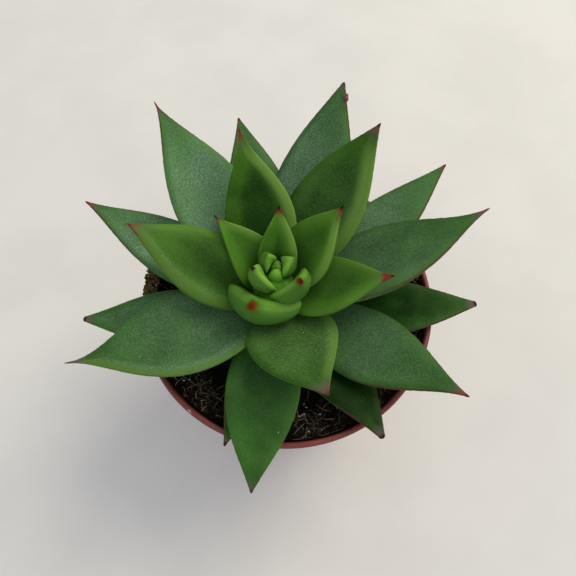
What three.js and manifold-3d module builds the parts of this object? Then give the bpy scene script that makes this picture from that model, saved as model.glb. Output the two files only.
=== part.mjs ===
// A rosette succulent, an agavoides hybrid echeveria, in its round terracotta-coloured pot.
// Millimetres, +Z up. The origin is the centre of the pot's underside, on the surface it stands on.
// The pot holds a bed of peat, a short stem stands in a hole in the peat, and the leaves spiral
// up the stem from the oldest, which lie over the rim, to the bud at the heart.
import * as THREE from "three";
import { mergeVertices } from "three/addons/utils/BufferGeometryUtils.js";
import Module from "manifold-3d";

const wasm = await Module();
wasm.setup();

// Pot: a 10.5 cm round nursery pot
const POT_HEIGHT = 92;
const RIM_RADIUS = 52.5;
const RIM_WIDTH = 2;
const BAND_HEIGHT = 14;
const BAND_DRAFT = 0.9;
const BODY_TOP_RADIUS = 49.9;
const FOOT_RADIUS = 37;
const WALL = 1.8;
const FLOOR = 2.6;
const FLOOR_FILLET = 2;
const BAND_STEP = 1.5;
const EDGE_ROUND = 1;
const POT_SIDES = 64;
const DRAIN_SIDES = 12;
const DRAIN_HOLES = 6;
const DRAIN_RADIUS = 3.5;
const DRAIN_CIRCLE = 24;

// Plant: where it stands, and how its stem leans back as it rises
const STEM_X = -3.8;
const STEM_Y = -3.2;
const CROWN_Z = 87;
const STEM_LEAN = 2.6;
const LEAN_FROM_LEAF = 9;
const LEAN_LEAVES = 14;
const GAP = 0.3;

// Peat: its level at the stem, at the rim, and in the mound against the rim on the left
const PEAT_LEVEL = 84.2;
const PEAT_AT_RIM = 87.6;
const MOUND_HEIGHT = 2.6;
const MOUND_HEADING = 164;
const MOUND_SPREAD = 16;
const DISH_RADIUS = 22;
const DISH_SLOPE = 24;
const CRUMB = 0.8;
const PEAT_SEED = 7;
const PEAT_SIDES = 48;
const PEAT_RINGS = 10;

// Root and stem
const ROOT_TIP_Z = 50;
const ROOT_TIP_RADIUS = 3.6;
const NECK_RADIUS = 6.85;
const NECK_Z = 85.4;
const STEM_TOP_Z = 108;
const STEM_TOP_RADIUS = 2.4;
const STEM_SIDES = 18;
const HOLE_SIDES = 24;
const SOCKET = 0.5;

// Leaves, oldest first. Heading, swing and rise are degrees: heading is the way the leaf points,
// anticlockwise from +X, swing is how far it curves sideways, rise is its slope at base and tip.
// Length, width and thickness are mm, cup is how far the edges lift as a share of half the width,
// roll tips the leaf about its own length, lift moves it from its turn's height on the stem,
// taper is the power of the curve that narrows it, higher for a more drawn-out tip, and tip is
// half the width in mm that it ends with, more where the tip has dried back.
const LEAF_KEYS = [
  "heading", "length", "width", "riseBase", "riseTip", "swing", "roll", "cup", "thick", "lift",
  "taper", "tip",
];
const LEAVES = [
  [252, 43.5, 15, 11, 8, 0, 0, 0.2, 2.8, 0, 1.15, 0.35],
  [193, 60, 20, 16, -2, -16, 1, 0.22, 4.2, 0, 1.15, 0.8],
  [313, 51, 22, 17, 5, -17, -12, 0, 4.2, 0, 1.15, 0.9],
  [354, 64, 21.5, 12, -4, 12, -7, 0.14, 4.6, 0, 1.15, 0.95],
  [98, 67, 24, 14, 21, 9, 3, 0.1, 4.8, -1, 1.15, 0.35],
  [34, 74, 24, 13, 13, 9, -16, 0, 4.8, 0, 1.15, 0.4],
  [156.4, 68, 22.9, 15, 20, -2, 6, 0.16, 4.8, 0, 1.25, 0.35],
  [263, 57, 24, 16, -18, 1, 2, 0.2, 4.8, 0, 1.15, 0.35],
  [73.6, 76, 28, 19, 30, -5, -9, 0, 4.8, 0, 1.08, 0.5],
  [126.4, 71, 27.8, 26, 36, -2, 1, 0.16, 4.8, 0, 1.22, 0.35],
  [330.6, 64, 25.6, 13, 8, -4, -1, -0.12, 4.8, 0, 1.4, 0.35],
  [215, 63.5, 28.6, 22, 5, -26, 4, 0.4, 4.8, -1, 1.5, 0.35],
  [9.6, 71, 27, 18, 17, 18, -17, 0.25, 4.8, 0.5, 1.45, 0.35],
  [286, 39, 29.5, 30, 20, 16, -5, 0.06, 4, 1, 1.15, 0.5],
  [167, 50, 25.5, 41, 30, -4, 4, -0.06, 4.2, 0, 1.15, 0.35],
  [57, 61.5, 26, 32, 34, -8, -4, 0.08, 4.4, 0, 1.1, 0.35],
  [103, 50.5, 23, 35, 37, 4, -1, 0.3, 3.8, 1.5, 1.45, 0.35],
  [352, 39, 20, 35, 38, 1, 6, 0.18, 3.8, 0, 1.25, 0.35],
  [141, 31, 15.5, 66, 43, 5, -5, 0.4, 3, 0, 1.15, 0.35],
  [37, 35, 19.2, 49, 59, -9, 3, 0.03, 3.2, 1, 1.15, 0.35],
  [82, 26, 12.5, 69, 57, 6, 5, 0.4, 2.6, 2, 1.15, 0.35],
];
const LOWEST_LEAF = 0.6;
const LEAF_STEP = 0.78;
const UPPER_STEP = 0.04;
const UPPER_FROM_LEAF = 14;
const STEM_RADIUS = 8.4;
const STEM_TAPER = 0.25;

// The young leaves round the bud: as above, with the radius and height they start at, and how
// high their plump upper side stands above the midrib
const YOUNG_KEYS = [
  "heading", "length", "width", "riseBase", "riseTip", "swing", "roll", "cup", "thick",
  "radius", "height", "crown",
];
const YOUNG_LEAVES = [
  [250, 26, 25.3, 31, 98, -23, 14, 0.44, 3.7, 5.1, 12, 6],
  [316, 23.4, 15.8, 51, 91, -2, -3, 0.39, 3.4, 3.9, 16.5, 3.2],
  [218, 22.5, 9.8, 59, 90, 0, -7, 0.42, 3.1, 1.9, 18.8, 2.3],
];
const BUD_LEAVES = [
  [133, 11.8, 5.6, 71, 112, 0, 14, 0.6, 2.4, 3.4, 23.8, 2.1],
  [20, 9.6, 6.8, 65, 76, 0, -15, 0.5, 2.2, 3.5, 23.8, 2.4],
  [70, 9, 4, 82, 95, 0, 0, 0.2, 1.8, 1.6, 22.6, 1.2],
];
const BUD_RADIUS = 2.4;
const BUD_HEIGHT = 3.4;
const BUD_PLACE = [0.4, -1, 4.5];
const CORE_RADIUS = 3.8;
const CORE_HEIGHT = 3;
const BUD_SIDES = 12;

// Leaf form, each pair for a long leaf and a short one: the foot's share of the width, and how far
// along the leaf it is widest. The thickest place, the foot's thickness and the powers of the
// curves that close both towards the tip are the same for all.
const LONG_LEAF = 60;
const SHORT_LEAF = 36;
const FOOT_SHARE = [0.4, 0.6];
const WIDEST_AT = [0.45, 0.36];
const YOUNG_TAPER = 1.15;
const THICKEST_AT = 0.35;
const FOOT_THICKNESS = 0.62;
const THICK_POWER = 0.75;

// Leaf section, each pair for the oldest leaf and the youngest of the table: how much of the
// thickness lies above the midrib, the power that rounds the section, and the depth in mm of the
// dish along the upper side. Past KEEL_FROM the underside turns into a keel.
const PLUMP = [0.25, 0.4];
const ROUND = [2, 3];
const HOLLOW = [0.8, 1.2];
const HOLLOW_REACH = 0.82;
const HOLLOW_FULL = 0.3;
const HOLLOW_FADES = 0.6;
const KEEL_FROM = 0.45;
const KEEL_POWER = 0.9;
const EDGE_THICK = 0.6;
const YOUNG_TIP = 0.35;

// The young leaves' own section: plump above, with a crown that rises along the leaf between the
// two shares of CROWN_FROM and closes bluntly at the tip, and nearly flat below
const UNDER_SHARE = 0.8;
const UNDER_ROUND = 4;
const YOUNG_KEEL = 0.3;
const CROWN_ROUND = 2.3;
const CROWN_POWER = 0.35;
const CROWN_FROM = [0.1, 0.5];

// How finely a leaf is divided, with its stations drawn closer together towards the tip
const STATIONS = 12;
const BUD_STATIONS = 8;
const ACROSS = 7;
const SPINE_STEPS = 120;
const TIP_CROWDING = 1.3;

const terracotta = new THREE.MeshStandardMaterial({ color: 0x9a4a38, roughness: 0.6, metalness: 0 });
const peat = new THREE.MeshStandardMaterial({ color: 0x2a1d15, roughness: 1, metalness: 0 });
const stemGreen = new THREE.MeshStandardMaterial({ color: 0x6f7f45, roughness: 0.7, metalness: 0 });
const oldLeaf = new THREE.Color(0x3f6b45);
const youngLeaf = new THREE.Color(0x6f9f4c);

const radians = THREE.MathUtils.degToRad;
const mix = THREE.MathUtils.lerp;
const clamp = THREE.MathUtils.clamp;
const smoothstep = THREE.MathUtils.smoothstep;

// Solids: a closed geometry as a manifold, and back
function solidOf(geometry) {
  const bare = geometry.clone();
  bare.deleteAttribute("normal");
  bare.deleteAttribute("uv");
  const merged = mergeVertices(bare, 1e-4);
  return new wasm.Manifold(new wasm.Mesh({
    numProp: 3,
    vertProperties: merged.attributes.position.array,
    triVerts: new Uint32Array(merged.index.array),
  }));
}

function geometryOf(solid) {
  const mesh = solid.getMesh();
  const points = new Float32Array(mesh.numVert * 3);
  for (let i = 0; i < mesh.numVert; i++) {
    points.set(mesh.vertProperties.subarray(i * mesh.numProp, i * mesh.numProp + 3), i * 3);
  }
  const geometry = new THREE.BufferGeometry();
  geometry.setAttribute("position", new THREE.BufferAttribute(points, 3));
  geometry.setIndex(new THREE.BufferAttribute(mesh.triVerts, 1));
  geometry.computeVertexNormals();
  return geometry;
}

function largestBody(solid) {
  return solid.decompose().sort((a, b) => b.volume() - a.volume())[0];
}

// Stem: its centre and radius at the height of a leaf's turn
function stemLean(turn) {
  return STEM_LEAN * Math.max((turn - LEAN_FROM_LEAF) / LEAN_LEAVES, 0) ** 1.5;
}

function turnHeight(turn) {
  return LOWEST_LEAF + LEAF_STEP * turn + UPPER_STEP * Math.max(turn - UPPER_FROM_LEAF, 0) ** 2;
}

function turnRadius(turn) {
  return STEM_RADIUS - STEM_TAPER * turn;
}

// Leaf: half its width and its thickness along the way from base to tip, as shares of the most
function widthShare(u, foot, widest, taper) {
  if (u < widest) return mix(foot, 1, Math.sin((Math.PI / 2) * (u / widest)));
  return Math.cos((Math.PI / 2) * ((u - widest) / (1 - widest))) ** taper;
}

function thickShare(u, power) {
  if (u < THICKEST_AT) return mix(FOOT_THICKNESS, 1, Math.sin((Math.PI / 2) * (u / THICKEST_AT)));
  const past = (u - THICKEST_AT) / (1 - THICKEST_AT);
  return Math.max(Math.cos((Math.PI / 2) * past), 0) ** power;
}

// How full a section is at a share v of the way from its middle to its margin
function fullness(v, power) {
  return Math.max(1 - Math.abs(v) ** power, 0) ** (1 / power);
}

// The midrib, as points with their tangents, from the stem to the tip
function midrib(leaf) {
  const ribs = [];
  const head0 = radians(leaf.heading);
  const at = new THREE.Vector3(
    STEM_X + leaf.radius * Math.cos(head0),
    leaf.stemY + leaf.radius * Math.sin(head0),
    CROWN_Z + leaf.height,
  );
  const step = leaf.length / SPINE_STEPS;
  for (let i = 0; i <= SPINE_STEPS; i++) {
    const s = i / SPINE_STEPS;
    const rise = radians(mix(leaf.riseBase, leaf.riseTip, s));
    const head = radians(leaf.heading + leaf.swing * s);
    const along = new THREE.Vector3(
      Math.cos(rise) * Math.cos(head),
      Math.cos(rise) * Math.sin(head),
      Math.sin(rise),
    );
    if (i > 0) at.addScaledVector(along, step);
    ribs.push({ at: at.clone(), along, head });
  }
  return ribs;
}

// A leaf as one closed body: stations along the midrib, each a ring of points round its section.
// Swell grows it all round, for the seat that it presses into its neighbours.
function leafGeometry(leaf, swell = 0, stations = STATIONS) {
  const ribs = midrib(leaf);
  const short = clamp((LONG_LEAF - leaf.length) / (LONG_LEAF - SHORT_LEAF), 0, 1);
  const foot = mix(...FOOT_SHARE, short);
  const widest = mix(...WIDEST_AT, short);
  const points = [];
  const ring = 2 * ACROSS;
  for (let i = 0; i < stations; i++) {
    const u = 1 - (1 - i / (stations - 1)) ** TIP_CROWDING;
    const rib = ribs[Math.round(u * SPINE_STEPS)];
    const side = new THREE.Vector3(-Math.sin(rib.head), Math.cos(rib.head), 0);
    const up = new THREE.Vector3().crossVectors(rib.along, side);
    const tilt = radians(leaf.roll);
    const across = side.clone().multiplyScalar(Math.cos(tilt)).addScaledVector(up, Math.sin(tilt));
    const out = up.clone().multiplyScalar(Math.cos(tilt)).addScaledVector(side, -Math.sin(tilt));
    const share = widthShare(u, foot, widest, leaf.taper);
    const half = Math.max((leaf.width / 2) * share, leaf.tip);
    const crown = leaf.crown * thickShare(u, leaf.crownPower) * smoothstep(u, ...leaf.crownFrom);
    const belly = leaf.belly * thickShare(u, THICK_POWER);
    const hollow = leaf.hollow * smoothstep(u, 0, HOLLOW_FULL) * (1 - smoothstep(u, HOLLOW_FADES, 1));
    const keel = leaf.keeled * clamp((u - KEEL_FROM) / (1 - KEEL_FROM), 0, 1);
    const edge = EDGE_THICK / 2 + swell;
    const ends = swell * (2 * u - 1);
    for (let k = 0; k < ring; k++) {
      const top = k < ACROSS;
      const j = top ? k : ring - 1 - k;
      const v = -Math.cos((Math.PI * j) / (ACROSS - 1));
      const dip = Math.max(1 - (v / HOLLOW_REACH) ** 2, 0) ** 2;
      const above = crown * fullness(v, leaf.crownRound) + edge - hollow * dip;
      const under = mix(fullness(v, leaf.round), (1 - Math.abs(v)) ** KEEL_POWER, keel);
      const below = belly * under + edge;
      const height = leaf.cup * half * v * v + (top ? above : -below);
      const reach = (half + swell) * v;
      points.push(rib.at.clone()
        .addScaledVector(rib.along, ends)
        .addScaledVector(across, reach)
        .addScaledVector(out, height));
    }
  }
  return ringsGeometry(points, ring);
}

// Rings of points joined into one closed skin, with a fan-like strip over each end
function ringsGeometry(points, ring) {
  const faces = [];
  const rings = points.length / ring;
  for (let i = 0; i + 1 < rings; i++) {
    for (let k = 0; k < ring; k++) {
      const a = i * ring + k;
      const b = i * ring + ((k + 1) % ring);
      faces.push(a, a + ring, b + ring, a, b + ring, b);
    }
  }
  const last = (rings - 1) * ring;
  for (let k = 0; k + 1 < ring / 2; k++) {
    const mirror = ring - 1 - k;
    faces.push(k, k + 1, mirror - 1, k, mirror - 1, mirror);
    faces.push(last + k, last + mirror - 1, last + k + 1, last + k, last + mirror, last + mirror - 1);
  }
  const geometry = new THREE.BufferGeometry();
  const numbers = points.flatMap((point) => point.toArray());
  geometry.setAttribute("position", new THREE.Float32BufferAttribute(numbers, 3));
  geometry.setIndex(faces);
  return geometry;
}

// The tables, read into leaves with names, oldest first
function named(keys, row) {
  return Object.fromEntries(keys.map((key, i) => [key, row[i]]));
}

function oldLeaves() {
  return LEAVES.map((row, turn) => {
    const leaf = named(LEAF_KEYS, row);
    const age = turn / LEAVES.length;
    leaf.radius = turnRadius(turn);
    leaf.height = turnHeight(turn) + leaf.lift;
    leaf.stemY = STEM_Y + stemLean(turn);
    leaf.crown = leaf.thick * mix(...PLUMP, age);
    leaf.belly = leaf.thick - leaf.crown;
    leaf.hollow = mix(...HOLLOW, age);
    leaf.round = mix(...ROUND, age);
    leaf.keeled = 1;
    leaf.crownRound = leaf.round;
    leaf.crownPower = THICK_POWER;
    leaf.crownFrom = [-1, 0];
    return leaf;
  });
}

function youngLeaves(rows) {
  return rows.map((row) => {
    const leaf = named(YOUNG_KEYS, row);
    leaf.taper = YOUNG_TAPER;
    leaf.tip = YOUNG_TIP;
    leaf.stemY = STEM_Y + STEM_LEAN;
    leaf.belly = UNDER_SHARE * leaf.thick;
    leaf.hollow = 0;
    leaf.round = UNDER_ROUND;
    leaf.keeled = YOUNG_KEEL;
    leaf.crownRound = CROWN_ROUND;
    leaf.crownPower = CROWN_POWER;
    leaf.crownFrom = CROWN_FROM;
    return leaf;
  });
}

// Pot: a turned shell with a band under the rim, and drain holes round the middle of the floor
function innerRadius(z) {
  const bandFoot = POT_HEIGHT - BAND_HEIGHT;
  const rimInside = RIM_RADIUS - RIM_WIDTH;
  if (z > bandFoot) return rimInside - BAND_DRAFT * (POT_HEIGHT - z) / BAND_HEIGHT;
  return mix(FOOT_RADIUS, BODY_TOP_RADIUS, z / bandFoot) - WALL;
}

function potGeometry() {
  const bandFoot = POT_HEIGHT - BAND_HEIGHT;
  const inside = RIM_RADIUS - RIM_WIDTH;
  const profile = [
    [0, 0],
    [FOOT_RADIUS - EDGE_ROUND, 0],
    [FOOT_RADIUS, EDGE_ROUND],
    [BODY_TOP_RADIUS, bandFoot - 1],
    [RIM_RADIUS - BAND_DRAFT, bandFoot],
    [RIM_RADIUS, POT_HEIGHT - EDGE_ROUND],
    [RIM_RADIUS - 0.3, POT_HEIGHT - 0.3],
    [RIM_RADIUS - EDGE_ROUND, POT_HEIGHT],
    [inside + 0.8, POT_HEIGHT],
    [inside + 0.2, POT_HEIGHT - 0.3],
    [inside, POT_HEIGHT - 0.8],
    [innerRadius(bandFoot + 0.1), bandFoot],
    [innerRadius(bandFoot - BAND_STEP), bandFoot - BAND_STEP],
    [innerRadius(FLOOR + FLOOR_FILLET), FLOOR + FLOOR_FILLET],
    [innerRadius(FLOOR + FLOOR_FILLET) - FLOOR_FILLET, FLOOR],
    [0, FLOOR],
  ].map(([r, z]) => new THREE.Vector2(r, z));
  let pot = solidOf(new THREE.LatheGeometry(profile, POT_SIDES).rotateX(Math.PI / 2));
  for (let i = 0; i < DRAIN_HOLES; i++) {
    const turn = (2 * Math.PI * i) / DRAIN_HOLES;
    const hole = new THREE.CylinderGeometry(DRAIN_RADIUS, DRAIN_RADIUS, 4 * FLOOR, DRAIN_SIDES);
    hole.rotateX(Math.PI / 2);
    hole.translate(DRAIN_CIRCLE * Math.cos(turn), DRAIN_CIRCLE * Math.sin(turn), FLOOR / 2);
    pot = pot.subtract(solidOf(hole));
  }
  return geometryOf(pot);
}

// Peat: fills the pot, dished at the stem, mounded at one side, with a crumbly top
function randomFrom(seed) {
  let state = seed;
  return () => {
    state = (state * 1664525 + 1013904223) % 4294967296;
    return state / 4294967296;
  };
}

function peatHeight(x, y) {
  const r = Math.hypot(x, y);
  const heading = THREE.MathUtils.radToDeg(Math.atan2(y, x));
  const off = THREE.MathUtils.euclideanModulo(heading - MOUND_HEADING + 180, 360) - 180;
  const share = clamp((r - DISH_RADIUS) / DISH_SLOPE, 0, 1);
  const mound = MOUND_HEIGHT * Math.exp(-((off / MOUND_SPREAD) ** 2)) * share;
  const roll = 0.5 * Math.sin(x * 0.31 + 1) * Math.sin(y * 0.27 + 2) * share;
  return mix(PEAT_LEVEL, PEAT_AT_RIM, share) + mound + roll;
}

function peatGeometry() {
  const corner = FLOOR + FLOOR_FILLET;
  const shoulder = POT_HEIGHT - BAND_HEIGHT - BAND_STEP;
  const wallTop = PEAT_AT_RIM - 1;
  const brim = innerRadius(wallTop) - GAP - 0.2;
  const profile = [
    [0, FLOOR + GAP],
    [innerRadius(corner) - FLOOR_FILLET - GAP, FLOOR + GAP],
    [innerRadius(corner) - GAP, corner],
    [innerRadius(shoulder) - GAP, shoulder],
    [brim, wallTop],
  ];
  const topFrom = profile.length - 1;
  for (let i = 1; i <= PEAT_RINGS; i++) profile.push([brim * (1 - i / PEAT_RINGS), wallTop]);
  const outline = profile.map(([r, z]) => new THREE.Vector2(r, z));
  const lathe = new THREE.LatheGeometry(outline, PEAT_SIDES);
  lathe.rotateX(Math.PI / 2);
  const random = randomFrom(PEAT_SEED);
  const place = lathe.attributes.position;
  for (let seam = 0; seam <= PEAT_SIDES; seam++) {
    for (let i = topFrom; i < profile.length; i++) {
      const n = seam * profile.length + i;
      const crumb = CRUMB * (random() - 0.5) * (i > topFrom && i < profile.length - 1 ? 1 : 0);
      place.setZ(n, peatHeight(place.getX(n), place.getY(n)) + crumb);
    }
  }
  for (let i = topFrom; i < profile.length; i++) {
    const n = PEAT_SIDES * profile.length + i;
    place.setXYZ(n, place.getX(i), place.getY(i), place.getZ(i));
  }
  const bottom = ROOT_TIP_Z - GAP;
  const depth = POT_HEIGHT - bottom;
  const slope = (NECK_RADIUS - ROOT_TIP_RADIUS) / (NECK_Z - ROOT_TIP_Z);
  const narrow = ROOT_TIP_RADIUS + GAP;
  const hole = new THREE.CylinderGeometry(narrow + slope * depth, narrow, depth, HOLE_SIDES);
  hole.rotateX(Math.PI / 2);
  hole.translate(STEM_X, STEM_Y, bottom + depth / 2);
  return geometryOf(solidOf(lathe).subtract(solidOf(hole)));
}

// Stem: root, neck and leafy part in one, with a shallow seat for the foot of every leaf
function stemGeometry(seats) {
  const levels = [[ROOT_TIP_Z, ROOT_TIP_RADIUS, 0], [NECK_Z, NECK_RADIUS, 0]];
  for (let turn = 0; turn < LEAVES.length; turn += 4) {
    levels.push([CROWN_Z + turnHeight(turn), turnRadius(turn) + SOCKET, stemLean(turn)]);
  }
  levels.push([STEM_TOP_Z, STEM_TOP_RADIUS, STEM_LEAN]);
  const points = [];
  for (const [z, radius, lean] of levels) {
    for (let k = 0; k < STEM_SIDES; k++) {
      const turn = (-2 * Math.PI * k) / STEM_SIDES;
      points.push(new THREE.Vector3(
        STEM_X + radius * Math.cos(turn),
        STEM_Y + lean + radius * Math.sin(turn),
        z,
      ));
    }
  }
  let stem = solidOf(ringsGeometry(points, STEM_SIDES));
  for (const seat of seats) stem = stem.subtract(seat);
  return geometryOf(largestBody(stem));
}

// Heart: the last leaves and the bud, grown together
function heartSolid() {
  const bud = new THREE.SphereGeometry(1, BUD_SIDES, 8).rotateX(Math.PI / 2);
  bud.scale(BUD_RADIUS, BUD_RADIUS, BUD_HEIGHT);
  const [ahead, aside, lift] = BUD_PLACE;
  bud.translate(STEM_X + ahead, STEM_Y + STEM_LEAN + aside, STEM_TOP_Z + lift);
  const core = new THREE.CylinderGeometry(CORE_RADIUS, BUD_RADIUS, CORE_HEIGHT, BUD_SIDES);
  core.rotateX(Math.PI / 2);
  core.translate(STEM_X, STEM_Y + STEM_LEAN, STEM_TOP_Z + GAP + CORE_HEIGHT / 2);
  let heart = solidOf(bud).add(solidOf(core));
  for (const leaf of youngLeaves(BUD_LEAVES)) {
    heart = heart.add(solidOf(leafGeometry(leaf, 0, BUD_STATIONS)));
  }
  return heart;
}

function meshOf(name, geometry, material) {
  const mesh = new THREE.Mesh(geometry, material);
  mesh.name = name;
  return mesh;
}

function leafMaterial(share) {
  const color = oldLeaf.clone().lerp(youngLeaf, share);
  return new THREE.MeshStandardMaterial({ color, roughness: mix(0.62, 0.45, share), metalness: 0 });
}

// Every leaf is pressed a little by the younger leaves that rest on it, which keeps them apart
function build() {
  const plant = new THREE.Group();
  plant.add(meshOf("pot", potGeometry(), terracotta));
  plant.add(meshOf("peat", peatGeometry(), peat));
  const leaves = [...oldLeaves(), ...youngLeaves(YOUNG_LEAVES)];
  const seats = leaves.map((leaf) => solidOf(leafGeometry(leaf, GAP)));
  plant.add(meshOf("stem", stemGeometry(seats), stemGreen));
  leaves.forEach((leaf, i) => {
    let blade = solidOf(leafGeometry(leaf));
    for (const seat of seats.slice(i + 1)) {
      if (blade.intersect(seat).volume() > 0) blade = blade.subtract(seat);
    }
    const name = "leaf_" + String(i + 1).padStart(2, "0");
    plant.add(meshOf(name, geometryOf(largestBody(blade)), leafMaterial(i / leaves.length)));
  });
  let heart = heartSolid();
  for (const seat of seats) heart = heart.subtract(seat);
  plant.add(meshOf("heart", geometryOf(largestBody(heart)), leafMaterial(1)));
  return plant;
}

export default build();
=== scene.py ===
import math
import random
from functools import partial

import bmesh
import bpy
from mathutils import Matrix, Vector, noise
from mathutils.geometry import tessellate_polygon


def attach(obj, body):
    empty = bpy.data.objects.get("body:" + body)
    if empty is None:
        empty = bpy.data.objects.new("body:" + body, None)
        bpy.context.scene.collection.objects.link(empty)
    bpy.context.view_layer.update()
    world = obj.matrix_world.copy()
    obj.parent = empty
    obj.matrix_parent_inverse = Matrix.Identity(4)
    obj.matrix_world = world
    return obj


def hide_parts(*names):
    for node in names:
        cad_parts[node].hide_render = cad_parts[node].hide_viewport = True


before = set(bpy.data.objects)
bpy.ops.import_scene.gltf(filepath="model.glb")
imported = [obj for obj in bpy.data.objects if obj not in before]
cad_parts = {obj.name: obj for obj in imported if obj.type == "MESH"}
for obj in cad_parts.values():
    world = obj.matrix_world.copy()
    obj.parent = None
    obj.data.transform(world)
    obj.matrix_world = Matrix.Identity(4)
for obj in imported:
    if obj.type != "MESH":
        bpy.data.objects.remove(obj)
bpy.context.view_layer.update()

# A potted agavoides hybrid echeveria. Lengths below are millimetres unless a name says metres.
MM = 0.001

# Where the plant stands in its pot, and how its stem leans as it rises
STEM_X = -3.8
STEM_Y = -3.2
CROWN_Z = 87
STEM_LEAN = 2.6
LEAN_FROM_LEAF = 9
LEAN_LEAVES = 14
LEAN_POWER = 1.5
STEM_TOP_Z = 108

# The pot: a 10.5 cm round nursery pot
POT_HEIGHT = 92
RIM_RADIUS = 52.5
RIM_INSIDE = 50.5
BAND_FOOT = 78
BAND_DRAFT = 0.9
BODY_TOP = 77
BODY_TOP_RADIUS = 49.9
FOOT_RADIUS = 37
POT_FLOOR = 2.6
FLOOR_FILLET = 2
WALL = 1.8
FOOT_ROUND = 1.0
LIP_ROUND = 0.95
INNER_LIP_ROUND = 0.8
DRAIN_HOLES = 6
DRAIN_RADIUS = 3.5
DRAIN_CIRCLE = 24
POT_SIDES = 192
DRAIN_SIDES = 24

# The peat: dished at the stem, mounded against the rim on the left, and a little up the wall
PEAT_LEVEL = 84.2
PEAT_AT_RIM = 87.6
MOUND_HEIGHT = 2.6
MOUND_HEADING = 164
MOUND_SPREAD = 16
DISH_RADIUS = 22
DISH_SLOPE = 24
ROLL_HEIGHT = 0.5
WALL_HEIGHT = 1.6
WALL_RISE = (42, 48.5)
PEAT_GAP = 0.3
BRIM_Z = 88
BRIM_GAP = 0.15
# Clods, crumbs and grit: how many mm across, how high, and which layer of the noise they take
BED_RELIEF = ((4.2, 0.9, 3.1), (1.3, 0.55, 9.7), (0.55, 0.25, 5.3))
BED_SIDES = 400
BED_RINGS = 58
CLOSES_WITHIN = 16
STEM_HOLE_RADIUS = 7.4
ROOT_HOLE_RADIUS = 3.9
ROOT_HOLE_FLOOR = 49.7

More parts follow.
